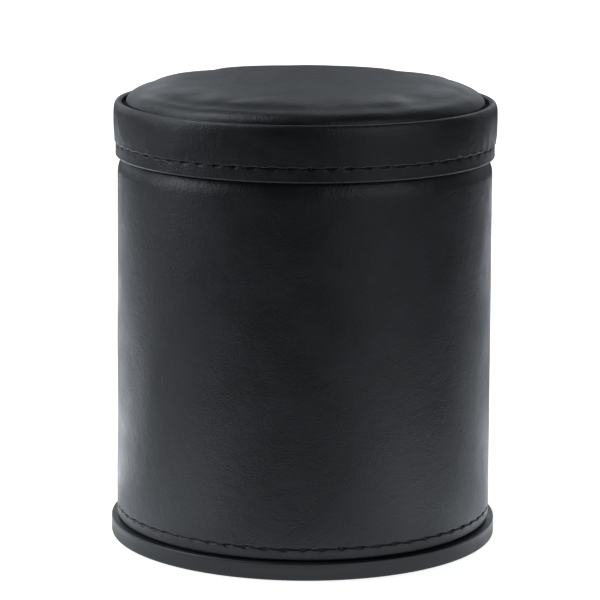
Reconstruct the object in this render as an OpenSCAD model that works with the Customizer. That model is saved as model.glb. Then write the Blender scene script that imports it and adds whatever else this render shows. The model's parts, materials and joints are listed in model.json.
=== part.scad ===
// Leather dice cup, standing mouth down on its round tray, with a lid on the closed end
// that covers a small store for the dice. All sizes are in millimetres, +Z is up, and the
// origin is the centre of the face that the tray rests on.

/* [Tray] */
// Diameter of the tray's flange
flange_d = 95; // [94:0.5:99]
// Height of the ledge that the cup's mouth stands on
ledge_h = 4.5; // [4:0.05:5]
// Height of the tray's locating ring above the ledge
ring_h = 5; // [3:0.5:6]
// Thickness of the soft pad under the tray
foot_pad_h = 1; // [0.8:0.1:1.2]

/* [Cup] */
// Diameter of the cup over its leather at the shoulder
cup_d = 91.3; // [91:0.1:91.8]
// How much the wall's radius grows from the shoulder to the mouth
mouth_flare = 0.5; // [0:0.05:0.6]
// Height of the cup from its mouth to its shoulder
cup_h = 89.65; // [84:0.05:96]
// Height over which the shoulder curves inwards
shoulder_h = 4.2; // [3:0.1:4.5]
// Height of the mouth's row of stitches above the mouth
mouth_stitch_h = 3.05; // [2.6:0.05:3.6]
// Number of stitches round the mouth
mouth_stitches = 64; // [56:1:70]

/* [Dice store] */
// Edge length of the dice that the store holds
die_w = 16; // [14:0.5:16]
// Height of the collar that the lid slides over
collar_h = 7.8; // [6.5:0.1:8]

/* [Lid] */
// Diameter of the lid at its stitched lower strip
lid_d = 92.2; // [92:0.1:93]
// How far the lid's side swells beyond the strip
lid_swell = 0.6; // [0.3:0.05:0.8]
// Height of the lid's rim above its lower edge
lid_rim_h = 13.35; // [12.9:0.05:14]
// Height of the padded top above the rim
crown_h = 4.75; // [3.5:0.05:6]
// Height of the lid's row of stitches above its lower edge
lid_stitch_h = 3.45; // [3:0.05:3.8]
// Number of stitches round the lid
lid_stitches = 65; // [56:1:70]

/* [Materials] */
// Thickness of the leather
leather_t = 1; // [0.8:0.1:1]
// Thickness of the board tubes
board_t = 1.8; // [1.6:0.1:1.8]
// Thickness of the flannel linings
flannel_t = 0.6; // [0.4:0.1:0.6]
// Radius of the sewing thread
thread_r = 0.25; // [0.2:0.05:0.25]

/* [Hidden] */
$fn = 96;

leather_rgb = [0.075, 0.078, 0.085];
plastic_rgb = [0.10, 0.10, 0.105];
thread_rgb = [0.03, 0.03, 0.033];
flannel_rgb = [0.50, 0.03, 0.05];
board_rgb = [0.55, 0.50, 0.42];
foam_rgb = [0.85, 0.84, 0.80];
rubber_rgb = [0.06, 0.06, 0.06];

// Gap between the flat faces of two bodies that rest on each other
seat_gap = 0.05;
// Radial gap between the lid and its collar
lid_gap = 0.3;
// Steps in a rounded corner's quarter turn
arc_steps = 6;

// Tray, from the outside inwards
flange_r = flange_d / 2;
flange_lift = 0.3;
flange_top_round = 0.4;
flange_low_round = 0.8;
foot_pad_r = flange_r - 2.2;
foot_recess_r = flange_r - 2;
ring_t = 1.8;
ring_round = 0.85;
well_floor_z = 3;
tray_felt_t = 1;

// Walls of the cup, from the outside inwards
cup_r = cup_d / 2;
mouth_r = cup_r + mouth_flare;
padding_t = 0.7;
wrap_in_r = cup_r - leather_t;
core_r = wrap_in_r - padding_t;
core_in_r = core_r - board_t;
cup_bore_r = core_in_r - flannel_t;
ring_gap = 0.45;
ring_r = cup_bore_r - ring_gap;

// Levels of the cup
mouth_z = ledge_h + seat_gap;
mouth_round = 0.9;
hem_h = 4.6;
shoulder_z = mouth_z + cup_h;
shoulder_flat_r = cup_r - 1.35;
core_top_z = shoulder_z - leather_t - 0.8;
mouth_stitch_z = mouth_z + mouth_stitch_h;

// The shoulder is an arc that leaves the wall upright and ends at the shoulder's flat top
shoulder_drop = cup_r - shoulder_flat_r;
shoulder_arc_r = (shoulder_h * shoulder_h + shoulder_drop * shoulder_drop) / (2 * shoulder_drop);

// Dice store
collar_t = 1.7;
cover_t = 0.4;
collar_r = core_in_r;
collar_in_r = collar_r - collar_t;
cover_r = collar_r + cover_t;
collar_top_z = shoulder_z + collar_h;
cover_hem_h = 5;
floor_felt_t = 0.8;
store_clear_h = die_w + 1.5;
ceiling_gap = 0.5;
ceiling_z = collar_top_z + ceiling_gap;
store_floor_z = ceiling_z - store_clear_h;
floor_board_t = 2;
floor_board_z = store_floor_z - floor_felt_t - floor_board_t;

// Walls of the lid, from the inside outwards
lid_bore_r = cover_r + lid_gap;
lid_flannel_t = 0.5;
lid_core_in_r = lid_bore_r + lid_flannel_t;
lid_core_t = 1.5;
lid_core_r = lid_core_in_r + lid_core_t;
lid_r = lid_d / 2;
swell_r = lid_r + lid_swell;

// Levels of the lid
lid_z = shoulder_z + seat_gap;
lid_low_round = 1.1;
lid_hem_h = 5;
ceiling_felt_t = 0.7;
top_board_z = ceiling_z + ceiling_felt_t;
top_board_t = 1.8;
lid_core_top_z = top_board_z + top_board_t;
lid_stitch_z = lid_z + lid_stitch_h;
swell_z = lid_z + 9.4;
rim_z = lid_z + lid_rim_h;
rim_crest_r = swell_r - 1.3;
rim_in_r = swell_r - 2.05;
rim_squareness = 2.9;

// Padded top
top_r = rim_in_r - 0.65;
crown_z = rim_z + crown_h;
crown_edge_z = rim_z - 1.65;
// How flat the padded top is across, and how upright its edge stands
crown_flatness = 6;
crown_fullness = 2.7;
crown_steps = 14;

// Grooves that the stitches lie in
groove_depth = 0.55;
groove_half_w = 1;
stitch_len = 3;
stitch_gap = 0.05;

function reverse(points) = [for (i = [len(points) - 1:-1:0]) points[i]];

// Points along an arc of an ellipse with half axes a and b, from angle a0 to a1
function arc(cr, cz, a, b, a0, a1, steps = arc_steps) =
    [for (i = [0:steps]) let (t = a0 + (a1 - a0) * i / steps) [cr + a * cos(t), cz + b * sin(t)]];

// Points along the quarter of a squarish ellipse, from its widest point up to its crest
function squarish(cr, cz, a, b) =
    [for (i = [0:arc_steps]) let (t = 90 * i / arc_steps)
        [cr + a * pow(cos(t), 2 / rim_squareness), cz + b * pow(sin(t), 2 / rim_squareness)]];

// Points down and up a soft groove in an upright wall of radius r, centred on height z
function groove(r, z) =
    [for (i = [-4:4]) [r - groove_depth * (1 + cos(i * 45)) / 2, z + groove_half_w * i / 4]];

// Turned solids: a ring between two radii, a disc, and a ring of any outline
module ring(r_out, r_in, z0, z1) {
    rotate_extrude() translate([r_in, z0]) square([r_out - r_in, z1 - z0]);
}

module disc(r, z0, z1) {
    translate([0, 0, z0]) cylinder(h = z1 - z0, r = r);
}

module turned(outline) {
    rotate_extrude() polygon(outline);
}

// A row of short threads that lie round a circle
module stitch_row(r, z, count) {
    for (i = [0:count - 1])
        rotate([0, 0, (i + 0.5) * 360 / count])
            translate([r, -stitch_len / 2, z])
                rotate([-90, 0, 0])
                    cylinder(h = stitch_len, r = thread_r, $fn = 16);
}

// Moulded tray: a flange, a ledge for the cup's mouth, and a ring that keeps the cup centred
module tray_body() {
    color(plastic_rgb) turned(concat(
        [[0, foot_pad_h], [foot_recess_r, foot_pad_h], [foot_recess_r, flange_lift]],
        arc(flange_r - flange_low_round, flange_lift + flange_low_round,
            flange_low_round, flange_low_round, -90, 0),
        arc(flange_r - flange_top_round, ledge_h - flange_top_round,
            flange_top_round, flange_top_round, 0, 90),
        [[ring_r, ledge_h]],
        arc(ring_r - ring_round, ledge_h + ring_h - ring_round, ring_round, ring_round, 0, 90),
        arc(ring_r - ring_t + ring_round, ledge_h + ring_h - ring_round,
            ring_round, ring_round, 90, 180),
        [[ring_r - ring_t, well_floor_z], [0, well_floor_z]]));
}

module tray_felt() {
    color(flannel_rgb) disc(ring_r - ring_t - 0.05, well_floor_z, well_floor_z + tray_felt_t);
}

module tray_foot_pad() {
    color(rubber_rgb) disc(foot_pad_r, 0, foot_pad_h);
}

// Outer outline of the cup's leather from the mouth's flat to the shoulder's flat
function wrap_outside() = concat(
    arc(mouth_r - mouth_round, mouth_z + mouth_round, mouth_round, mouth_round, -90, 0),
    groove(mouth_r, mouth_stitch_z),
    arc(cup_r - shoulder_arc_r, shoulder_z - shoulder_h, shoulder_arc_r, shoulder_arc_r,
        0, asin(shoulder_h / shoulder_arc_r)));

// Inner outline of the leather, which the padding fills, from the shoulder down to the mouth
function wrap_inside() = let (r = shoulder_arc_r - leather_t) concat(
    [[cover_r, shoulder_z - leather_t]],
    arc(wrap_in_r - r, shoulder_z - shoulder_h, r, r, asin((shoulder_h - leather_t) / r), 0),
    [[wrap_in_r + mouth_flare, mouth_z + leather_t]]);

// The wrap turns under the mouth's edge and up inside as a hem
module cup_leather() {
    color(leather_rgb) turned(concat(
        wrap_outside(),
        [[cover_r, shoulder_z]],
        wrap_inside(),
        [[core_in_r, mouth_z + leather_t], [core_in_r, mouth_z + hem_h],
         [cup_bore_r, mouth_z + hem_h], [cup_bore_r, mouth_z + flannel_t],
         [cup_bore_r + flannel_t, mouth_z]]));
}

module cup_padding() {
    color(foam_rgb) turned(concat(
        wrap_inside(),
        [[core_r, mouth_z + leather_t], [core_r, core_top_z], [cover_r, core_top_z]]));
}

module cup_core() {
    color(board_rgb) ring(core_r, core_in_r, mouth_z + leather_t, core_top_z);
}

module cup_lining() {
    color(flannel_rgb)
        ring(core_in_r, cup_bore_r, mouth_z + hem_h, floor_board_z - floor_felt_t);
}

// The board that closes the cup is also the floor of the dice store
module cup_floor_board() {
    color(board_rgb) disc(core_in_r, floor_board_z, floor_board_z + floor_board_t);
}

module cup_floor_felt() {
    color(flannel_rgb) disc(core_in_r, floor_board_z - floor_felt_t, floor_board_z);
}

module cup_stitching() {
    color(thread_rgb)
        stitch_row(mouth_r - groove_depth + thread_r + stitch_gap, mouth_stitch_z, mouth_stitches);
}

// The collar stands on the floor board, inside the cup's tube, and the lid slides over it
module collar_core() {
    color(board_rgb) ring(collar_r, collar_in_r, floor_board_z + floor_board_t,
        collar_top_z - cover_t);
}

module collar_cover() {
    color(leather_rgb) turned([
        [cover_r, core_top_z], [cover_r, collar_top_z - cover_t],
        [cover_r - cover_t, collar_top_z],
        [collar_in_r, collar_top_z],
        [collar_in_r - cover_t, collar_top_z - cover_t],
        [collar_in_r - cover_t, collar_top_z - cover_hem_h],
        [collar_in_r, collar_top_z - cover_hem_h],
        [collar_in_r, collar_top_z - cover_t],
        [collar_r, collar_top_z - cover_t], [collar_r, core_top_z]]);
}

module store_lining() {
    color(flannel_rgb)
        ring(collar_in_r, collar_in_r - flannel_t, store_floor_z, collar_top_z - cover_hem_h);
}

module store_floor_felt() {
    color(flannel_rgb) disc(collar_in_r, store_floor_z - floor_felt_t, store_floor_z);
}

module lid_core() {
    color(board_rgb) ring(lid_core_r, lid_core_in_r, lid_z + leather_t, lid_core_top_z);
}

module lid_top_board() {
    color(board_rgb) disc(lid_core_in_r, top_board_z, lid_core_top_z);
}

// Inner outline of the lid's leather, which the rim padding fills, from the top down
function band_inside() = let (r = swell_r - leather_t) concat(
    [[rim_in_r, lid_core_top_z], [rim_in_r, rim_z - leather_t - 0.2]],
    reverse(squarish(rim_crest_r, swell_z, r - rim_crest_r, rim_z - leather_t - swell_z)),
    [[lid_r - leather_t, lid_stitch_z + groove_half_w],
     [lid_r - leather_t, lid_z + leather_t]]);

// The side leather turns under the lid's lower edge as a hem, and over the rim into the groove
module lid_side_leather() {
    color(leather_rgb) turned(concat(
        arc(lid_r - lid_low_round, lid_z + lid_low_round, lid_low_round, lid_low_round, -90, 0),
        groove(lid_r, lid_stitch_z),
        squarish(rim_crest_r, swell_z, swell_r - rim_crest_r, rim_z - swell_z),
        [[rim_in_r, rim_z - 0.15]],
        [for (p = band_inside()) if (p[1] > lid_core_top_z + 0.01 || p[0] > rim_in_r) p],
        [[lid_core_in_r, lid_z + leather_t], [lid_core_in_r, lid_z + lid_hem_h],
         [lid_bore_r, lid_z + lid_hem_h], [lid_bore_r, lid_z + lid_flannel_t],
         [lid_core_in_r, lid_z]]));
}

module lid_rim_padding() {
    color(foam_rgb) turned(concat(
        band_inside(),
        [[lid_core_r, lid_z + leather_t], [lid_core_r, lid_core_top_z]]));
}

// Outline of the padded top, inset by t from its outside, from its edge to the axis
function crown(t) = concat(
    [[top_r - t, lid_core_top_z]],
    [for (i = [crown_steps:-1:0]) let (u = 90 * i / crown_steps)
        [(top_r - t) * pow(sin(u), 2 / crown_flatness),
         crown_edge_z + (crown_z - t - crown_edge_z) * pow(cos(u), 2 / crown_fullness)]]);

module lid_top_padding() {
    color(foam_rgb) turned(concat([[0, lid_core_top_z]], crown(leather_t)));
}

module lid_top_leather() {
    color(leather_rgb) turned(concat(crown(0), reverse(crown(leather_t))));
}

module lid_lining() {
    color(flannel_rgb) ring(lid_core_in_r, lid_bore_r, lid_z + lid_hem_h, ceiling_z);
}

module lid_ceiling_felt() {
    color(flannel_rgb) disc(lid_core_in_r, ceiling_z, top_board_z);
}

module lid_stitching() {
    color(thread_rgb)
        stitch_row(lid_r - groove_depth + thread_r + stitch_gap, lid_stitch_z, lid_stitches);
}

tray_body();
tray_felt();
tray_foot_pad();
cup_core();
cup_padding();
cup_leather();
cup_lining();
cup_floor_board();
cup_floor_felt();
cup_stitching();
collar_core();
collar_cover();
store_lining();
store_floor_felt();
lid_core();
lid_top_board();
lid_rim_padding();
lid_side_leather();
lid_top_padding();
lid_top_leather();
lid_lining();
lid_ceiling_felt();
lid_stitching();
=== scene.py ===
"""Looks of the leather dice cup: stitched leather, padded lid, flannel linings and moulded tray.

Shapes are worked out in millimetres and turned into metres when a mesh is made. Every level and
radius starts from the box of a CAD node, so each piece lies where the frame says.
"""

import json
import math

import bmesh
import bpy
import numpy as np
from mathutils import Matrix, Vector

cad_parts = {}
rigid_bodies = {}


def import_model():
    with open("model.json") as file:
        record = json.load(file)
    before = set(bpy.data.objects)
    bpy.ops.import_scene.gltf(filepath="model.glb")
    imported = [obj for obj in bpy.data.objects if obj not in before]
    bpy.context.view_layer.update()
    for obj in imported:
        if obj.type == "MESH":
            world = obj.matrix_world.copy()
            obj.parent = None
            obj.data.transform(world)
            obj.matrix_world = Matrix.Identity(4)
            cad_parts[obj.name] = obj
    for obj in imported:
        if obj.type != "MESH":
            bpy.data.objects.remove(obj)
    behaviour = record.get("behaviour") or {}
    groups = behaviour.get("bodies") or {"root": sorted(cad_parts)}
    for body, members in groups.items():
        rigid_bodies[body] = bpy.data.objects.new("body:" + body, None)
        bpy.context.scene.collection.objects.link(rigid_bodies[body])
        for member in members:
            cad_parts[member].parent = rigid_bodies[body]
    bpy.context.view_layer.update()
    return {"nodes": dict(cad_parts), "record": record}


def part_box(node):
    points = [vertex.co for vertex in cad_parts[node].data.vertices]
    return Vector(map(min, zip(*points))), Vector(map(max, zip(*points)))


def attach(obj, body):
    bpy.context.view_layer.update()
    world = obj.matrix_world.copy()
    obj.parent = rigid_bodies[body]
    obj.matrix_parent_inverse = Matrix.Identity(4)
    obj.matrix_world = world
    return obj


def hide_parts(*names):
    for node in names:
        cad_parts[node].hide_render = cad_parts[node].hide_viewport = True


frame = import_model()
MM = 0.001
TURN = 2 * math.pi


# ---------------------------------------------------------------- sizes from the frame, in mm


def low(node):
    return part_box(node)[0].z / MM


def high(node):
    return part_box(node)[1].z / MM


def radius(node):
    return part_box(node)[1].x / MM


FLANGE_R = radius("tray_body")
TRAY_LOW = low("tray_body")
RING_TOP = high("tray_body")
FOOT_R = radius("tray_foot_pad")
FOOT_TOP = high("tray_foot_pad")
WELL_R = radius("tray_felt") + 0.05
WELL_FLOOR = low("tray_felt")
MOUTH_R = radius("cup_leather")
MOUTH_FLARE = 0.5
CUP_R = MOUTH_R - MOUTH_FLARE
MOUTH_Z = low("cup_leather")
SHOULDER_Z = high("cup_leather")
CORE_LOW = low("cup_core")
MOUTH_PAD_R = radius("cup_padding")
CORE_IN_R = radius("cup_floor_board")
HEM_TOP = low("cup_lining")
LINING_TOP = high("cup_lining")
COVER_R = radius("collar_cover")
COVER_LOW = low("collar_cover")
COLLAR_TOP = high("collar_cover")
COLLAR_IN_R = radius("store_lining")
STORE_FLOOR = high("store_floor_felt")
LID_Z = low("lid_side_leather")
RIM_Z = high("lid_side_leather")
SWELL_R = radius("lid_side_leather")
LID_CORE_IN_R = radius("lid_top_board")
LID_CORE_TOP = high("lid_top_board")
LID_HEM_TOP = low("lid_lining")
LID_LINING_TOP = high("lid_lining")
CEILING_TOP = high("lid_ceiling_felt")
TOP_R = radius("lid_top_leather")
CROWN_Z = high("lid_top_leather")
CUP_STITCH_Z = (low("cup_stitching") + high("cup_stitching")) / 2
LID_STITCH_Z = (low("lid_stitching") + high("lid_stitching")) / 2
LID_STRIP_R = radius("lid_stitching") + 0.05

LEDGE_Z = MOUTH_Z - 0.05
LEATHER_T = CORE_LOW - MOUTH_Z
FLANNEL_T = 0.6
LID_FLANNEL_T = 0.5
CUP_MIDDLE = 0.05
DAYLIGHT = (0.87, 0.93, 1.0)
CUP_STITCHES = 64
LID_STITCHES = 65
THREAD_R = 0.22
STITCH_HALF = 0.92
STEPS_PER_STITCH = 16
SEAM_ANGLE = TURN / 4


# ---------------------------------------------------------------- mesh tools


def piece_from(name, points, faces, body, slot, replaced, sharp=40):
    """A mesh piece from points in mm, smooth but for edges sharper than `sharp` degrees."""
    mesh = bpy.data.meshes.new(name)
    mesh.from_pydata((np.asarray(points) * MM).tolist(), [], [list(map(int, f)) for f in faces])
    work = bmesh.new()
    work.from_mesh(mesh)
    bmesh.ops.recalc_face_normals(work, faces=work.faces)
    work.to_mesh(mesh)
    work.free()
    mesh.shade_smooth()
    mesh.set_sharp_from_angle(angle=math.radians(sharp))
    piece = bpy.data.objects.new(name, mesh)
    bpy.context.scene.collection.objects.link(piece)
    mesh.materials.append(MATERIALS[slot])
    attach(piece, body)
    if replaced:
        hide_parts(*replaced)
    return piece


def arc(centre_r, centre_z, a, b, start, end, steps=6):
    """Points of an ellipse's arc in the radius-height plane, between two angles in degrees."""
    turn = np.radians(np.linspace(start, end, steps + 1))
    return [(centre_r + a * math.cos(t), centre_z + b * math.sin(t)) for t in turn]


def line(start, end, step):
    """Points from start towards end, about `step` apart, with the end left out."""
    start, end = np.array(start, float), np.array(end, float)
    count = max(1, round(float(np.linalg.norm(end - start)) / step))
    return [tuple(start + (end - start) * i / count) for i in range(count)]


def waves(across, along, shortest, longest, seed, count=28):
    """Smooth unevenness of about unit height, whose waves are shortest to longest mm long."""
    rng = np.random.default_rng(seed)
    total = np.zeros(np.broadcast(across, along).shape)
    for _ in range(count):
        pitch = TURN / rng.uniform(shortest, longest)
        heading, phase = rng.uniform(0, TURN, 2)
        total += np.cos(pitch * (across * math.cos(heading) + along * math.sin(heading)) + phase)
    return total / math.sqrt(count / 2)


def waves_round(angle, height, wall_r, shortest, longest, seed, count=28):
    """The same unevenness on a round wall: each wave fits a whole number of times round it."""
    rng = np.random.default_rng(seed)
    total = np.zeros(np.broadcast(angle, height).shape)
    for _ in range(count):
        pitch = TURN / rng.uniform(shortest, longest)
        heading, phase = rng.uniform(0, TURN, 2)
        times = round(pitch * wall_r * math.cos(heading))
        total += np.cos(times * angle + pitch * math.sin(heading) * height + phase)
    return total / math.sqrt(count / 2)


def stitch_angles(stitches):
    """Angles round a stitched ring, closer together where each stitch lies."""
    share = (np.arange(STEPS_PER_STITCH) + 0.5) / STEPS_PER_STITCH - 0.5
    crowded = share - 0.5 * np.sin(TURN * share) / TURN
    return ((np.arange(stitches)[:, None] + crowded) * TURN / stitches).ravel()


def turned_ring(name, outline, angles, body, slot, replaced, relief=None, sharp=40):
    """A ring whose cross-section is the loop `outline` of (radius, height, softness) points.

    angles are where it is drawn round the axis, or how many even steps there are.
    relief(angle, height) is how far the outside is pressed towards the axis, and each point
    takes its own softness of it."""
    loop = np.array([(*p, 0.0)[:3] for p in outline])
    if isinstance(angles, int):
        angles = np.arange(angles) * TURN / angles
    segments = len(angles)
    angle = angles[:, None]
    r, z, soft = (loop[None, :, k] for k in range(3))
    r = np.broadcast_to(r, (segments, len(loop))).copy()
    z = np.broadcast_to(z, r.shape)
    if relief:
        r -= soft * relief(angle, z)
    points = np.stack([r * np.cos(angle), r * np.sin(angle), z], -1).reshape(-1, 3)
    n = len(loop)
    i, j = np.meshgrid(np.arange(segments), np.arange(n), indexing="ij")
    ahead, over = (i + 1) % segments, (j + 1) % n
    faces = np.stack([i * n + j, i * n + over, ahead * n + over, ahead * n + j], -1)
    return piece_from(name, points, faces.reshape(-1, 4), body, slot, replaced, sharp)


def quads_between(ring, outer):
    """Quads that join two closed rings of vertices, which have as many vertices each."""
    return [
        (ring[m], outer[m], outer[(m + 1) % len(outer)], ring[(m + 1) % len(ring)])
        for m in range(len(ring))
    ]


def disc_points(cells, rings, square=0.5):
    """A unit disc of even quads: a rounded square of cells in the middle, and rings round it.

    Returns the points, the quads, and the indices of the outermost ring, in order."""
    side = np.linspace(-1, 1, cells + 1)
    x, y = np.meshgrid(side, side, indexing="ij")
    bulge = 0.22
    inner = np.stack([x * (1 + bulge * (1 - y * y)), y * (1 + bulge * (1 - x * x))], -1)
    inner = inner.reshape(-1, 2) * square / math.sqrt(2) * 1.05
    n = cells + 1
    quads = [
        (i * n + j, (i + 1) * n + j, (i + 1) * n + j + 1, i * n + j + 1)
        for i in range(cells)
        for j in range(cells)
    ]
    walk = (
        [i * n for i in range(cells)]
        + [cells * n + j for j in range(cells)]
        + [i * n + cells for i in range(cells, 0, -1)]
        + list(range(cells, 0, -1))
    )
    angle = np.linspace(0, TURN, len(walk), endpoint=False) - 0.75 * math.pi
    rim = np.stack([np.cos(angle), np.sin(angle)], -1)
    points, last = [inner], walk
    for k in range(1, rings + 1):
        share = k / rings
        blend = share * (1.5 - 0.5 * share)
        points.append(inner[walk] * (1 - blend) + rim * blend)
        ring = [len(inner) + (k - 1) * len(walk) + m for m in range(len(walk))]
        quads += quads_between(last, ring)
        last = ring
    return np.concatenate(points), quads, last


def felt_disc(name, disc_r, bottom, top, body, replaced, seed):
    """A cut disc of flannel with a softly uneven nap and a rounded cut edge."""
    edge_width, edge_drop, nap_depth = 1.2, 0.22, 0.035
    flat, quads, rim = disc_points(cells=28, rings=22)
    count = len(flat)
    reach = np.linalg.norm(flat, axis=1)
    lie = waves(flat[:, 0] * disc_r, flat[:, 1] * disc_r, 5, 22, seed)
    edge = np.clip((1 - reach) * disc_r / edge_width, 0, 1)
    drop = edge_drop * (1 - np.sqrt(1 - (1 - edge) ** 2 * 0.999))
    upper = np.column_stack([flat * disc_r, top - 0.05 - nap_depth * lie * edge - drop])
    lower = np.column_stack([flat * disc_r, np.full(count, bottom)])
    faces = list(quads) + [tuple(reversed([v + count for v in q])) for q in quads]
    faces += quads_between(rim, [v + count for v in rim])
    felt = piece_from(name, np.concatenate([upper, lower]), faces, body, "flannel", replaced)
    return felt


# ---------------------------------------------------------------- materials


class Nodes:
    """The shader nodes of one material, with short ways to make the ones that repeat."""

    def __init__(self, name):
        self.material = bpy.data.materials.new(name)
        self.material.use_nodes = True
        self.tree = self.material.node_tree
        self.surface = self.tree.nodes["Principled BSDF"]
        self.place = self.tree.nodes.new("ShaderNodeTexCoord").outputs["Object"]

    def link(self, source, target):
        self.tree.links.new(source, target)

    def noise(self, size_mm, detail=2.0, rough=0.5, stretch=(1, 1, 1), distortion=0.0):
        """Noise whose blobs are about size_mm across, made longer along an axis by stretch."""
        mapping = self.tree.nodes.new("ShaderNodeMapping")
        mapping.inputs["Scale"].default_value = [1 / (size_mm * MM * s) for s in stretch]
        self.link(self.place, mapping.inputs["Vector"])
        node = self.tree.nodes.new("ShaderNodeTexNoise")
        node.inputs["Scale"].default_value = 1.0
        node.inputs["Detail"].default_value = detail
        node.inputs["Roughness"].default_value = rough
        node.inputs["Distortion"].default_value = distortion
        self.link(mapping.outputs["Vector"], node.inputs["Vector"])
        return node.outputs["Fac"]

    def pebbles(self, size_mm, feature="SMOOTH_F1"):
        """Rounded cells about size_mm across, high in the middle and low between them."""
        mapping = self.tree.nodes.new("ShaderNodeMapping")
        mapping.inputs["Scale"].default_value = [1 / (size_mm * MM)] * 3
        self.link(self.place, mapping.inputs["Vector"])
        node = self.tree.nodes.new("ShaderNodeTexVoronoi")
        node.feature = feature
        node.inputs["Scale"].default_value = 1.0
        self.link(mapping.outputs["Vector"], node.inputs["Vector"])
        return self.spread(node.outputs["Distance"], 0.0, 0.8, 1.0, 0.0)

    def spread(self, value, from_low, from_high, to_low, to_high):
        """value carried from one range onto another."""
        node = self.tree.nodes.new("ShaderNodeMapRange")
        for socket, number in zip(node.inputs[1:5], (from_low, from_high, to_low, to_high)):
            socket.default_value = number
        self.link(value, node.inputs["Value"])
        return node.outputs["Result"]

    def colours(self, value, *stops):
        """A colour that follows value through stops of (position, red, green, blue)."""
        ramp = self.tree.nodes.new("ShaderNodeValToRGB")
        while len(ramp.color_ramp.elements) < len(stops):
            ramp.color_ramp.elements.new(1.0)
        for element, (position, *colour) in zip(ramp.color_ramp.elements, stops):
            element.position = position
            element.color = (*colour, 1)
        self.link(value, ramp.inputs["Fac"])
        return ramp.outputs["Color"]

    def sum(self, first, second, share):
        """first plus share times second."""
        node = self.tree.nodes.new("ShaderNodeMath")
        node.operation = "MULTIPLY_ADD"
        self.link(second, node.inputs[0])
        node.inputs[1].default_value = share
        self.link(first, node.inputs[2])
        return node.outputs["Value"]

    def bump(self, *layers):
        """Bumps stacked on each other, each a (height, depth in mm) pair."""
        normal = None
        for height, depth_mm in layers:
            node = self.tree.nodes.new("ShaderNodeBump")
            node.inputs["Strength"].default_value = 1.0
            node.inputs["Distance"].default_value = depth_mm * MM
            self.link(height, node.inputs["Height"])
            if normal:
                self.link(normal, node.inputs["Normal"])
            normal = node.outputs["Normal"]
        self.link(normal, self.surface.inputs["Normal"])

    def set(self, **sockets):
        for name, value in sockets.items():
            socket = self.surface.inputs[name.replace("_", " ").title().replace("Ior", "IOR")]
            if hasattr(value, "is_linked"):
                self.link(value, socket)
            else:
                socket.default_value = value


def leather(name, tone, rough):
    """Black leather with a fine pebbled grain, faint creases and a slightly uneven polish."""
    m = Nodes(name)
    grain = m.pebbles(0.42)
    fine = m.noise(0.16, detail=3)
    creases = m.noise(2.6, detail=4, rough=0.62, distortion=0.7)
    patches = m.noise(11, detail=2)
    shade = m.sum(m.spread(patches, 0.3, 0.7, 0.2, 0.6), creases, 0.4)
    m.set(
        base_color=m.colours(
            shade,
            (0.2, *(0.72 * c for c in tone)),
            (0.55, *tone),
            (0.9, *(1.45 * c for c in tone)),
        ),
        roughness=m.sum(m.spread(patches, 0.3, 0.7, rough - 0.05, rough + 0.05), fine, 0.06),
    )
    m.bump((creases, 0.11), (grain, 0.042), (fine, 0.026))
    return m.material


def flannel(name):
    """Dark red brushed flannel: a soft nap in fibres and clumps, over broad uneven patches."""
    m = Nodes(name)
    fibres = m.noise(0.18, detail=5, rough=0.7, distortion=1.2)
    clumps = m.noise(0.9, detail=4, rough=0.6)
    brushed = m.noise(6.0, detail=2)
    shade = m.sum(m.sum(fibres, clumps, 0.7), brushed, 0.5)
    m.set(
        base_color=m.colours(
            m.spread(shade, 0.6, 1.6, 0.0, 1.0),
            (0.1, 0.115, 0.004, 0.009),
            (0.5, 0.27, 0.010, 0.019),
            (0.95, 0.43, 0.035, 0.045),
        ),
        roughness=0.95,
        sheen_weight=0.45,
        sheen_roughness=0.45,
        sheen_tint=(0.75, 0.16, 0.18, 1),
    )
    m.bump((clumps, 0.20), (fibres, 0.14))
    return m.material


def moulded_plastic(name):
    """Black moulded plastic with a fine eroded texture and a few rubbed patches."""
    m = Nodes(name)
    spark = m.noise(0.22, detail=3, rough=0.6)
    rubbed = m.noise(9.0, detail=3)
    m.set(
        base_color=m.colours(
            rubbed, (0.3, 0.012, 0.0125, 0.0135), (0.7, 0.0185, 0.019, 0.020)
        ),
        roughness=m.spread(rubbed, 0.3, 0.7, 0.36, 0.48),
    )
    m.bump((spark, 0.012))
    return m.material


def foam_rubber(name):
    """Black closed-cell foam with a slightly open cut skin."""
    m = Nodes(name)
    cells = m.pebbles(0.5)
    m.set(
        base_color=m.colours(cells, (0.2, 0.012, 0.012, 0.012), (0.8, 0.032, 0.032, 0.034)),
        roughness=m.spread(cells, 0, 1, 0.8, 0.95),
    )
    m.bump((cells, 0.05))
    return m.material


def greyboard(name):
    """Solid grey-brown board with flecks of fibre."""
    m = Nodes(name)
    fibres = m.noise(0.7, detail=5, rough=0.7, stretch=(1, 1, 2.5))
    m.set(
        base_color=m.colours(
            fibres, (0.3, 0.17, 0.14, 0.105), (0.55, 0.27, 0.23, 0.175), (0.75, 0.38, 0.33, 0.26)
        ),
        roughness=m.spread(fibres, 0, 1, 0.82, 0.95),
    )
    m.bump((fibres, 0.06))
    return m.material


def foam(name):
    """Off-white open-cell foam."""
    m = Nodes(name)
    cells = m.pebbles(0.8)
    m.set(
        base_color=m.colours(cells, (0.1, 0.35, 0.32, 0.26), (0.6, 0.66, 0.63, 0.55)),
        roughness=m.spread(cells, 0, 1, 0.85, 0.98),
    )
    m.bump((cells, 0.2))
    return m.material


def sewing_thread(name):
    """Waxed black thread: soft gloss over fine filaments."""
    m = Nodes(name)
    filaments = m.noise(0.08, detail=3)
    m.set(
        base_color=m.colours(filaments, (0.3, 0.004, 0.004, 0.0045), (0.7, 0.012, 0.012, 0.013)),
        roughness=m.spread(filaments, 0.3, 0.7, 0.42, 0.6),
    )
    m.bump((filaments, 0.02))
    return m.material


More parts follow.
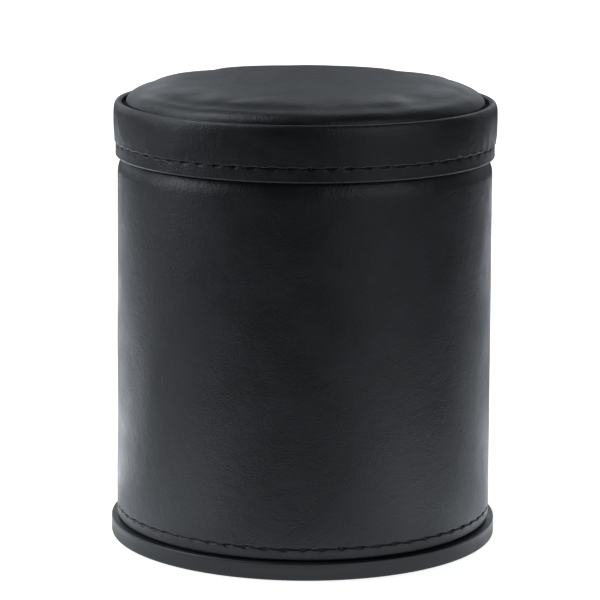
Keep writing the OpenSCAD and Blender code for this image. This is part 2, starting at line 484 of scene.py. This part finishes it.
LEATHER_TONE = (0.0105, 0.0110, 0.0128)
MATERIALS = {
    "leather": leather("leather", LEATHER_TONE, 0.40),
    "collar_leather": leather("collar_leather", (0.011, 0.011, 0.012), 0.52),
    "flannel": flannel("flannel"),
    "tray_plastic": moulded_plastic("tray_plastic"),
    "foot_pad": foam_rubber("foot_pad"),
    "greyboard": greyboard("greyboard"),
    "foam": foam("foam"),
    "thread": sewing_thread("thread"),
}


# ---------------------------------------------------------------- camera and studio


def make_camera():
    """The camera stands before the cup, a little above it, and looks slightly down."""
    camera = bpy.data.objects.new("camera", bpy.data.cameras.new("camera"))
    bpy.context.scene.collection.objects.link(camera)
    camera.data.lens = 178.3
    camera.data.clip_end = 20
    place = (-0.0010, -0.7168, 0.2016)
    pitch, roll = math.radians(11.33), math.radians(0.4)
    camera.matrix_world = (
        Matrix.Translation(place)
        @ Matrix.Rotation(math.pi / 2 - pitch, 4, "X")
        @ Matrix.Rotation(roll, 4, "Z")
    )
    bpy.context.scene.camera = camera


def area_light(name, size, watts, matrix):
    """A soft rectangular light that the camera doesn't see."""
    lamp = bpy.data.lights.new(name, "AREA")
    lamp.shape, lamp.size, lamp.size_y, lamp.energy = "RECTANGLE", *size, watts
    lamp.color = DAYLIGHT
    light = bpy.data.objects.new(name, lamp)
    bpy.context.scene.collection.objects.link(light)
    light.matrix_world = matrix
    light.visible_camera = False


def ground_place(bearing, reach, height):
    """A place round the cup: a bearing of 0 is the camera's side, and 90 is the right."""
    side = math.radians(bearing)
    return Vector((reach * math.sin(side), -reach * math.cos(side), height))


def softbox(name, bearing, reach, height, size, watts):
    """A softbox that stands round the cup and faces its middle."""
    place = ground_place(bearing, reach, height)
    away = place - Vector((0, 0, CUP_MIDDLE))
    turn = away.to_track_quat("Z", "Y").to_matrix().to_4x4()
    area_light(name, size, watts, Matrix.Translation(place) @ turn)


def glowing_table(name, bearing, reach, height, size, watts):
    """Light that a patch of the white table throws up.

    Patches that overlap need heights of their own, or a ray only ever finds one of them."""
    place = Matrix.Translation(ground_place(bearing, reach, height * MM))
    area_light(name, size, watts, place @ Matrix.Rotation(math.pi, 4, "X"))


def unseen_by_light(item, glow):
    """A plain pale surface that the camera sees, but that throws no light on the cup."""
    item.visible_diffuse = item.visible_glossy = item.visible_shadow = False
    paint = Nodes(item.name + "_paint")
    fleck = paint.noise(60, detail=2)
    paint.set(
        base_color=paint.colours(fleck, (0.3, 0.84, 0.84, 0.845), (0.7, 0.87, 0.87, 0.875)),
        roughness=0.7,
        emission_color=(1, 1, 1, 1),
        emission_strength=glow,
    )
    paint.material.cycles.emission_sampling = "NONE"
    item.data.materials.append(paint.material)


def make_studio():
    """A white table and backdrop, with soft boxes of uneven strength all round."""
    bpy.context.scene.view_settings.view_transform = "Standard"
    world = bpy.data.worlds.new("room")
    bpy.context.scene.world = world
    world.use_nodes = True
    world.node_tree.nodes["Background"].inputs["Color"].default_value = (0, 0, 0, 1)
    table_side, backdrop_r = 9, 4.4
    bpy.ops.mesh.primitive_plane_add(size=table_side, location=(0, 0, 0))
    bpy.context.object.name = "table"
    unseen_by_light(bpy.context.object, 0.9)
    bpy.ops.mesh.primitive_uv_sphere_add(
        radius=backdrop_r, segments=48, ring_count=24, location=(0, 0, 0)
    )
    bpy.context.object.name = "backdrop"
    unseen_by_light(bpy.context.object, 1.0)

    # Bearing, reach, height, size and watts
    tall, wide = (0.48, 0.9), (0.7, 0.7)
    softbox("left_wall", -85, 1.2, 0.5, tall, 5.5)
    softbox("left_back_wall", -135, 1.2, 0.5, tall, 1.8)
    softbox("back_left_wall", -165, 1.2, 0.5, tall, 1.4)
    softbox("back_right_wall", 165, 1.2, 0.5, tall, 1.3)
    softbox("right_back_wall", 135, 1.2, 0.5, tall, 0.95)
    softbox("front_right_wall", 35, 1.2, 0.5, tall, 1.6)
    softbox("right_front_wall", 60, 1.2, 0.5, tall, 1.6)
    softbox("left_high", -95, 0.95, 1.35, wide, 9.4)
    softbox("back_high", 165, 0.95, 1.35, wide, 1.5)

    # Bearing, reach, height in mm, size and watts
    glowing_table("table_all_round", 0, 0, 0.2, (1.2, 1.2), 1.0)
    glowing_table("table_far_back", 180, 0.40, 0.4, (0.60, 0.28), 1.25)
    glowing_table("table_left_back", -130, 0.21, 0.6, (0.20, 0.20), 0.25)
    glowing_table("table_right_back", 130, 0.21, 0.6, (0.20, 0.20), 0.11)
    glowing_table("table_left", -90, 0.09, 0.8, (0.08, 0.20), 0.052)
    glowing_table("table_right", 90, 0.09, 0.8, (0.08, 0.20), 0.052)
    glowing_table("table_front", 0, 0.09, 1.0, (0.26, 0.08), 0.028)
    glowing_table("table_foot", 0, 0, 0.3, (0.12, 0.12), 0.031)


# ---------------------------------------------------------------- stitched leather


def stitch_relief(angle, wall_r, height, stitches, row_z, depth, crease, width=1.0):
    """How far the sewing pulls the leather in: a crease all round that opens at each stitch.

    Its lower side slopes gently and its upper side is steep, as under a swollen fold. The
    crease is a share of the depth at a stitch. No two stitches lie quite alike, so their
    height, length and pull follow slow sines of their number."""
    pitch = TURN / stitches
    along = ((angle / pitch + 0.5) % 1 - 0.5) * pitch * wall_r
    number = np.round(angle / pitch)
    sway = 0.04 * np.sin(2.4 * number) + 0.03 * np.sin(5.3 * number + 1)
    up = height - row_z - sway - 0.04 * along
    half = STITCH_HALF * (1 + 0.14 * np.sin(1.7 * number + 4))
    opened = np.exp(-((along / half) ** 4))
    below, above = width * (0.14 + 0.24 * opened), width * (0.12 + 0.15 * opened)
    fold = np.exp(-((np.abs(up) / np.where(up < 0, below, above)) ** 1.6))
    firm = 1 + 0.16 * np.sin(3.7 * number + 2)
    pucker = (opened - 0.45) * np.exp(-((up / 1.5) ** 2))
    return depth * (fold * (crease + (1 - crease) * firm * opened) + 0.10 * pucker)


def past_seam(angle, wall_r):
    """How far round a wall a place lies from the seam at the back, in mm."""
    return ((angle - SEAM_ANGLE + math.pi) % TURN - math.pi) * wall_r


def lap_relief(angle, wall_r, flap=9.0, step=0.28):
    """The leather's two ends lap at the back: a crisp edge, and a flap that fades away."""
    along = past_seam(angle, wall_r)
    rise = np.clip(along / 0.35, 0, 1)
    left = np.clip(1 - along / flap, 0, 1)
    return -step * rise * (left**2 * (3 - 2 * left))


def stitch_rows(name, stitches, rows, body, replaced):
    """Sewn thread: each stitch is a twisted cord that dives into a hole at both ends.

    rows holds (radius of the thread's middle, height, sign): sign is 1 outside and -1 inside."""
    rings, sides = 13, 10
    pitch = TURN / stitches
    share = np.linspace(-1, 1, rings)
    points, faces = [], []
    for row_r, row_z, outward in rows:
        reach = 1.15 * STITCH_HALF / row_r if outward > 0 else 0.36 * pitch
        for stitch in range(stitches):
            t = pitch * (stitch + (0 if outward > 0 else 0.5)) + reach * share
            dive = np.abs(share) ** 4
            r = row_r - outward * 0.55 * dive
            z = row_z + 0.05 * share + 0.04 * math.sin(2.4 * stitch)
            centre = np.column_stack([r * np.cos(t), r * np.sin(t), z])
            ahead = np.gradient(centre, axis=0)
            ahead /= np.linalg.norm(ahead, axis=1)[:, None]
            side = np.cross(ahead, [0, 0, 1.0])
            side /= np.linalg.norm(side, axis=1)[:, None]
            up = np.cross(side, ahead)
            turn = np.arange(sides) * TURN / sides
            first = sum(len(p) for p in points)
            for k in range(rings):
                ply = 1 + 0.13 * np.cos(2 * turn + share[k] * 1.5 * TURN)
                thick = THREAD_R * ply * (1 - 0.25 * dive[k])
                ring = centre[k] + np.outer(thick * np.cos(turn), side[k])
                points.append(ring + np.outer(thick * np.sin(turn), up[k]))
            for k in range(rings - 1):
                for m in range(sides):
                    a, b = first + k * sides + m, first + k * sides + (m + 1) % sides
                    faces.append((a, b, b + sides, a + sides))
            faces.append(tuple(range(first + sides - 1, first - 1, -1)))
            last = first + (rings - 1) * sides
            faces.append(tuple(range(last, last + sides)))
    return piece_from(name, np.concatenate(points), faces, body, "thread", replaced, sharp=80)


def soft(points, softness=1.0):
    """Outline points, each with its share of the relief that turned_ring presses in."""
    return [(*p, softness) for p in points]


def make_cup_wrap():
    """The cup's leather: wall, rounded shoulder, stitched mouth and the hem turned up inside."""
    edge_round = 0.85
    start_z = MOUTH_Z + edge_round
    strip_r = MOUTH_R - 0.10
    shoulder_h = 4.2
    shoulder_r = 7.2
    flat_r = CUP_R - shoulder_r + math.sqrt(shoulder_r**2 - shoulder_h**2)
    bore_r = CORE_IN_R - FLANNEL_T
    pad_r = MOUTH_PAD_R - MOUTH_FLARE
    inner_arc = shoulder_r - LEATHER_T
    tilt = math.degrees(math.asin(shoulder_h / shoulder_r))
    inner_tilt = math.degrees(math.asin((shoulder_h - LEATHER_T) / inner_arc))
    low_z, high_z = CUP_STITCH_Z - 0.75, CUP_STITCH_Z + 0.75
    wall_top = SHOULDER_Z - shoulder_h
    outline = (
        soft(arc(strip_r - edge_round, start_z, edge_round, edge_round, -90, -6, 7), 0.3)
        + soft(line((strip_r, start_z + 0.1), (MOUTH_R, low_z), 0.35), 0.8)
        + soft(line((MOUTH_R, low_z), (MOUTH_R, high_z), 0.1))
        + soft(line((MOUTH_R, high_z), (MOUTH_R - 0.02, high_z + 1.5), 0.4))
        + soft(line((MOUTH_R - 0.02, high_z + 1.5), (CUP_R, wall_top), 3.1))
        + soft(arc(CUP_R - shoulder_r, wall_top, shoulder_r, shoulder_r, 0, tilt, 8))
        + soft([(flat_r - 0.5, SHOULDER_Z), (COVER_R, SHOULDER_Z)], 0.0)
        + soft([(COVER_R, SHOULDER_Z - LEATHER_T)], 0.0)
        + soft(arc(pad_r - inner_arc, wall_top, inner_arc, inner_arc, inner_tilt, 0, 5), 0.0)
        + soft([(MOUTH_PAD_R, CORE_LOW), (CORE_IN_R, CORE_LOW)], 0.0)
        + soft([(CORE_IN_R, HEM_TOP), (bore_r + 0.15, HEM_TOP)], 0.0)
        + soft(line((bore_r, HEM_TOP - 0.15), (bore_r, low_z), 0.35), -0.35)
        + soft(arc(bore_r + 0.45, MOUTH_Z + 0.45, 0.45, 0.45, 180, 270, 5), 0.0)
    )

    def relief(angle, z):
        lift = np.clip((z - wall_top) / 3, 0, 1) * np.clip((SHOULDER_Z - z) / 1.5, 0, 1)
        slow = waves_round(angle, z, CUP_R, 26, 70, seed=4)
        quick = waves_round(angle, z, CUP_R, 7, 16, seed=5)
        uneven = 0.045 * slow + (0.010 + 0.045 * lift) * quick
        return (
            stitch_relief(angle, MOUTH_R, z, CUP_STITCHES, CUP_STITCH_Z, 0.48, 0.75, width=0.9)
            + lap_relief(angle, CUP_R)
            + np.abs(uneven)
        )

    angles = stitch_angles(CUP_STITCHES)
    wrap = turned_ring("cup_wrap", outline, angles, "cup", "leather", ["cup_leather"], relief)
    rows = [
        (MOUTH_R - 0.28 - THREAD_R, CUP_STITCH_Z - 0.08, 1),
        (bore_r - 0.02, CUP_STITCH_Z, -1),
    ]
    stitch_rows("cup_thread", CUP_STITCHES, rows, "cup", ["cup_stitching"])


def squarish(centre_r, centre_z, a, b, steps, squareness=2.9):
    """Points of a squarish quarter ellipse, from its widest point up to its crest."""
    turn = np.linspace(0, math.pi / 2, steps + 1)
    power = 2 / squareness
    across, up = np.clip(np.cos(turn), 0, 1) ** power, np.sin(turn) ** power
    return list(zip(centre_r + a * across, centre_z + b * up))


def make_lid_band():
    """The lid's side leather: hemmed strip, stitches, swelling side and rolled rim."""
    strip_r = LID_STRIP_R
    edge_round = 0.55
    arc_z = LID_Z + edge_round
    bore_r = LID_CORE_IN_R - LID_FLANNEL_T
    rim_in_r = TOP_R + 0.65
    crest_r = SWELL_R - 1.3
    swell_z = LID_Z + 9.4
    low_z, high_z = LID_STITCH_Z - 0.8, LID_STITCH_Z + 0.7
    above_r = strip_r + 0.30
    pad_top = RIM_Z - LEATHER_T
    pad_r = SWELL_R - LEATHER_T
    fold = np.linspace(0, 1, 9)[:-1]
    side = list(
        zip(
            above_r + (SWELL_R - above_r) * np.sin(math.pi / 2 * fold) ** 0.7,
            high_z + (swell_z - high_z) * fold,
        )
    )
    row = np.linspace(low_z, high_z, 16)[:-1]
    step_height = 0.17
    step = 0.5 + 0.5 * np.tanh((row - LID_STITCH_Z) / step_height)
    inner_rim = squarish(crest_r, swell_z, pad_r - crest_r, pad_top - swell_z, 6)
    outline = (
        soft([(LID_CORE_IN_R, LID_Z)], 0.0)
        + soft(arc(strip_r - edge_round, arc_z, edge_round, edge_round, -90, 0, 8), 0.3)
        + soft(line((strip_r, arc_z + 0.2), (strip_r, low_z), 0.3), 0.8)
        + soft(list(zip(strip_r + (above_r - strip_r) * step, row)))
        + soft(side)
        + soft(squarish(crest_r, swell_z, SWELL_R - crest_r, RIM_Z - swell_z, 18))
        + soft(arc(rim_in_r + 0.30, RIM_Z - 0.35, 0.30, 0.30, 100, 180, 5), 0.6)
        + soft([(rim_in_r, LID_CORE_TOP)], 0.0)
        + soft([(rim_in_r + 0.4, LID_CORE_TOP), (rim_in_r + 0.4, pad_top - 0.2)], 0.0)
        + soft(list(reversed(inner_rim)), 0.0)
        + soft([(strip_r - LEATHER_T, high_z), (strip_r - LEATHER_T, LID_Z + LEATHER_T)], 0.0)
        + soft([(LID_CORE_IN_R, LID_Z + LEATHER_T), (LID_CORE_IN_R, LID_HEM_TOP)], 0.0)
        + soft([(bore_r, LID_HEM_TOP), (bore_r, LID_Z + LID_FLANNEL_T)], 0.0)
    )

    def relief(angle, z):
        up = z - LID_STITCH_Z
        slow = waves_round(angle, z, SWELL_R, 20, 60, seed=11)
        quick = waves_round(angle, z, SWELL_R, 6, 14, seed=12)
        near_row = np.exp(-(((up - 1.8) / 1.6) ** 2))
        uneven = 0.05 * slow + (0.015 + 0.03 * near_row) * quick
        return (
            stitch_relief(angle, strip_r, z, LID_STITCHES, LID_STITCH_Z, 0.58, 0.65, width=0.85)
            + lap_relief(angle, SWELL_R)
            + np.abs(uneven)
        )

    angles = stitch_angles(LID_STITCHES)
    band = turned_ring("lid_band", outline, angles, "lid", "leather", ["lid_side_leather"], relief)
    rows = [(strip_r - 0.36 - THREAD_R, LID_STITCH_Z - 0.16, 1)]
    stitch_rows("lid_thread", LID_STITCHES, rows, "lid", ["lid_stitching"])


# ---------------------------------------------------------------- padded top


def crown_height(r, top_z):
    """Height of the padded top at radius r: nearly flat across, and upright at its edge."""
    flatness, fullness = 6, 2.9
    edge_z = RIM_Z - 1.65
    return edge_z + (top_z - edge_z) * (1 - (r / TOP_R) ** flatness) ** (1 / fullness)


def make_lid_top():
    """The padded top panel: its leather is blown up over the foam by a cloth simulation."""
    top_z = CROWN_Z - 0.15
    flat_r = TOP_R - 0.75
    flat, quads, rim = disc_points(cells=40, rings=34)
    reach = np.linalg.norm(flat, axis=1)
    top = np.column_stack([flat * flat_r, crown_height(reach * flat_r, top_z)])
    points, faces, last = [top], list(quads), list(rim)
    edge_dir = flat[rim]
    upright = np.linspace(0, 1, 8)[1:] ** 0.6
    side = [(r, crown_height(r, top_z)) for r in flat_r + (TOP_R - flat_r) * upright]
    side += [(TOP_R, z) for z in np.linspace(side[-1][1], LID_CORE_TOP, 3)[1:]]
    count = len(top)
    for r, z in side:
        points.append(np.column_stack([edge_dir * r, np.full(len(rim), z)]))
        ring = list(range(count, count + len(rim)))
        faces += quads_between(last, ring)
        count, last = count + len(rim), ring
    points.append(np.column_stack([flat * (TOP_R - 0.1), np.full(len(flat), LID_CORE_TOP)]))
    base = [count + v for v in range(len(flat))]
    faces += [tuple(reversed([base[v] for v in q])) for q in quads]
    faces += quads_between(last, [base[v] for v in rim])
    panel = piece_from(
        "lid_top_panel",
        np.concatenate(points),
        faces,
        "lid",
        "leather",
        ["lid_top_leather", "lid_top_padding"],
        sharp=60,
    )
    swell(panel)
    settle(panel)
    refine = panel.modifiers.new("refine", "SUBSURF")
    refine.levels = refine.render_levels = 1


def swell(panel, frames=20, cap=0.35):
    """Blows the panel's leather up a little with Blender's cloth, at ten times its size."""
    grown = 10.0
    mesh = panel.data
    rest = np.array([v.co for v in mesh.vertices])
    bed_z = (LID_CORE_TOP + 0.6) * MM
    held = panel.vertex_groups.new(name="held")
    held.add([i for i, p in enumerate(rest) if p[2] < bed_z], 1.0, "REPLACE")
    parent, panel.parent = panel.parent, None
    for vertex in mesh.vertices:
        vertex.co *= grown
    cloth = panel.modifiers.new("swell", "CLOTH")
    cloth.settings.effector_weights.gravity = 0
    cloth.settings.use_pressure = True
    cloth.settings.uniform_pressure_force = 3
    cloth.settings.vertex_group_mass = "held"
    cloth.settings.quality = 6
    cloth.settings.tension_stiffness = 40
    cloth.settings.compression_stiffness = 40
    cloth.settings.bending_stiffness = 15
    cloth.point_cache.frame_start, cloth.point_cache.frame_end = 1, frames
    scene = bpy.context.scene
    for number in range(1, frames + 1):
        scene.frame_set(number)
    blown = panel.evaluated_get(bpy.context.evaluated_depsgraph_get()).data
    now = np.array([v.co for v in blown.vertices]) / grown
    panel.modifiers.remove(cloth)
    panel.vertex_groups.remove(held)
    scene.frame_set(1)
    step = evened(now - rest, np.array([e.vertices[:] for e in mesh.edges]), rounds=6)
    far = np.linalg.norm(step, axis=1, keepdims=True)
    step *= np.minimum(1, cap * MM / np.maximum(far, 1e-9))
    mesh.vertices.foreach_set("co", (rest + step).ravel())
    panel.parent = parent
    mesh.update()


def evened(step, edges, rounds):
    """Each vertex's step averaged with its neighbours', which irons out the finest wrinkles."""
    ends = np.concatenate([edges, edges[:, ::-1]])
    count = np.bincount(ends[:, 0], minlength=len(step))[:, None]
    for _ in range(rounds):
        around = np.zeros_like(step)
        np.add.at(around, ends[:, 0], step[ends[:, 1]])
        step = 0.5 * step + 0.5 * around / np.maximum(count, 1)
    return step


# Dents of the padded top: centre x and y, heading in degrees, half length, half width, depth
PANEL_DENTS = [
    (-18, -32, 8, 11, 2.0, 0.18),
    (14, -35, -6, 14, 1.9, 0.12),
    (36, 14, 65, 4, 1.5, 0.28),
    (-34, 6, -70, 9, 2.4, 0.12),
]


def settle(panel):
    """How the leather lies on soft foam: slow waves, a shallow trough inside the border, dents."""
    trough_depth, trough_in, trough_width = 0.30, 4.4, 1.5
    mesh = panel.data
    co = np.array([v.co for v in mesh.vertices]) / MM
    x, y, z = co.T
    r, bearing = np.hypot(x, y), np.arctan2(x, -y)
    upper = np.clip((z - RIM_Z) / 1.5, 0, 1)
    calm = np.clip((TOP_R - r) / 5, 0, 1)
    lie = 0.032 * waves(x, y, 16, 40, seed=21) + 0.014 * waves(x, y, 6, 13, seed=22)
    uneven = 0.6 + 0.4 * np.cos(bearing + 0.9)
    trough = trough_depth * uneven * np.exp(-(((r - TOP_R + trough_in) / trough_width) ** 2))
    dents = np.zeros(len(co))
    for dent_x, dent_y, heading, length, width, depth in PANEL_DENTS:
        turn = math.radians(heading)
        run = (x - dent_x) * math.cos(turn) + (y - dent_y) * math.sin(turn)
        off = -(x - dent_x) * math.sin(turn) + (y - dent_y) * math.cos(turn) - 0.012 * run**2
        dents += depth * np.exp(-((run / length) ** 2) - (off / width) ** 2)
    co[:, 2] -= upper * (np.abs(lie) * (0.35 + 0.65 * calm) + trough + dents)
    mesh.vertices.foreach_set("co", (co * MM).ravel())
    mesh.update()


# ---------------------------------------------------------------- flannel, collar and tray


def make_wall_lining(name, outer_r, thick, bottom, top, body, replaced, seed, row_step=2.6):
    """A flannel wall lining: a glued sleeve with soft ripples, whose ends meet at the back."""
    inner_r = outer_r - thick
    rows = line((inner_r, top - 0.2), (inner_r, bottom + 0.2), row_step)
    outline = (
        soft([(outer_r, bottom), (outer_r, top)], 0.0)
        + soft([(inner_r + 0.2, top)], -0.4)
        + soft(rows, -1.0)
        + soft([(inner_r, bottom + 0.2), (inner_r + 0.2, bottom)], -0.4)
    )

    def relief(angle, z):
        ripple = waves_round(angle, z, inner_r, 9, 34, seed)
        nap = waves_round(angle, z, inner_r, 2.5, 6, seed + 1)
        gap = 0.35 * np.exp(-((past_seam(angle, inner_r) / 0.45) ** 2))
        return np.clip(0.05 + 0.035 * ripple + 0.018 * nap, 0, 0.2) + gap

    sleeve = turned_ring(name, outline, 384, body, "flannel", replaced, relief)


def make_linings():
    """The red flannel in the cup, the dice store, the lid and the tray's well."""
    make_wall_lining(
        "cup_flannel",
        CORE_IN_R,
        FLANNEL_T,
        HEM_TOP,
        LINING_TOP,
        "cup",
        ["cup_lining"],
        seed=31,
    )
    felt_disc(
        "cup_end_flannel",
        CORE_IN_R,
        high("cup_floor_felt"),
        low("cup_floor_felt") + 0.1,
        "cup",
        ["cup_floor_felt"],
        seed=33,
    )
    make_wall_lining(
        "store_flannel",
        COLLAR_IN_R,
        FLANNEL_T,
        low("store_lining"),
        high("store_lining"),
        "cup",
        ["store_lining"],
        seed=35,
        row_step=1.6,
    )
    felt_disc(
        "store_floor_flannel",
        COLLAR_IN_R,
        low("store_floor_felt"),
        STORE_FLOOR,
        "cup",
        ["store_floor_felt"],
        seed=37,
    )
    make_wall_lining(
        "lid_flannel",
        LID_CORE_IN_R,
        LID_FLANNEL_T,
        LID_HEM_TOP,
        LID_LINING_TOP,
        "lid",
        ["lid_lining"],
        seed=39,
        row_step=1.0,
    )
    felt_disc(
        "lid_ceiling_flannel",
        LID_CORE_IN_R,
        CEILING_TOP,
        low("lid_ceiling_felt") + 0.1,
        "lid",
        ["lid_ceiling_felt"],
        seed=41,
    )
    felt_disc(
        "tray_flannel",
        radius("tray_felt"),
        WELL_FLOOR,
        high("tray_felt"),
        "tray",
        ["tray_felt"],
        seed=43,
    )


def make_collar():
    """Thin leather over the collar, turned in over its top edge."""
    thin = COVER_R - CORE_IN_R
    in_r = COLLAR_IN_R - thin
    inner_hem = high("store_lining")
    middle = (COVER_R + in_r) / 2
    edge_round = 0.45
    arc_z = COLLAR_TOP - edge_round
    outline = (
        soft(line((COVER_R, COVER_LOW), (COVER_R, arc_z), 0.8))
        + soft(arc(COVER_R - edge_round, arc_z, edge_round, edge_round, 0, 90, 5), 0.5)
        + soft([(middle, COLLAR_TOP)], 0.0)
        + soft(arc(in_r + edge_round, arc_z, edge_round, edge_round, 90, 180, 5), 0.0)
        + soft(line((in_r, COLLAR_TOP - 0.6), (in_r, inner_hem), 0.8), 0.0)
        + soft([(in_r, inner_hem), (in_r + thin, inner_hem)], 0.0)
        + soft([(in_r + thin, COLLAR_TOP - thin), (COVER_R - thin, COLLAR_TOP - thin)], 0.0)
        + soft([(COVER_R - thin, COVER_LOW)], 0.0)
    )

    def relief(angle, z):
        uneven = waves_round(angle, z, COVER_R, 7, 26, seed=51)
        return np.abs(0.035 * uneven) + 0.6 * (lap_relief(angle, COVER_R, 7, 0.16) + 0.16)

    turned_ring("collar_leather", outline, 512, "cup", "collar_leather", ["collar_cover"], relief)


def make_tray():
    """The moulded tray: flange, ledge, locating ring, and a pad under it."""
    ring_r = WELL_R + 1.8
    low_round, top_round, ring_round = 0.45, 0.35, 0.85
    recess_r = FLANGE_R - 2.0
    outline = (
        soft([(0.4, FOOT_TOP), (recess_r * 0.5, FOOT_TOP), (recess_r, FOOT_TOP)])
        + soft([(recess_r, TRAY_LOW + 0.1), (recess_r + 0.1, TRAY_LOW)])
        + soft(arc(FLANGE_R - low_round, TRAY_LOW + low_round, low_round, low_round, -90, 0, 8))
        + soft([(FLANGE_R, LEDGE_Z * 0.5)])
        + soft(arc(FLANGE_R - top_round, LEDGE_Z - top_round, top_round, top_round, 0, 90, 6))
        + soft([(ring_r + 0.3, LEDGE_Z)])
        + soft(arc(ring_r + 0.3, LEDGE_Z + 0.3, 0.3, 0.3, 270, 180, 4)[1:])
        + soft(arc(ring_r - ring_round, RING_TOP - ring_round, ring_round, ring_round, 0, 90, 7))
        + soft(arc(WELL_R + ring_round, RING_TOP - ring_round, ring_round, ring_round, 90, 180, 7))
        + soft([(WELL_R, WELL_FLOOR + 0.3), (WELL_R - 0.3, WELL_FLOOR)])
        + soft([(WELL_R * 0.5, WELL_FLOOR), (0.4, WELL_FLOOR)])
    )
    turned_ring("tray_moulding", outline, 320, "tray", "tray_plastic", ["tray_body"], sharp=32)
    pad = (
        soft([(0.4, 0.02), (FOOT_R * 0.5, 0.02), (FOOT_R - 0.3, 0.0)])
        + soft(arc(FOOT_R - 0.25, 0.25, 0.25, 0.25, -90, 0, 4))
        + soft([(FOOT_R, FOOT_TOP), (FOOT_R * 0.5, FOOT_TOP), (0.4, FOOT_TOP)])
    )
    under = turned_ring("tray_pad", pad, 256, "tray", "foot_pad", ["tray_foot_pad"])


def dress_hidden_nodes():
    """Boards and foam stay as CAD made them, with their own materials."""
    slots = {s["node"]: s["material_slot"] for s in frame["record"]["subparts"]}
    for name, node in frame["nodes"].items():
        if slots[name] in ("greyboard", "foam"):
            node.data.materials.clear()
            node.data.materials.append(MATERIALS[slots[name]])


make_camera()
make_studio()
make_cup_wrap()
make_lid_band()
make_lid_top()
make_linings()
make_collar()
make_tray()
dress_hidden_nodes()
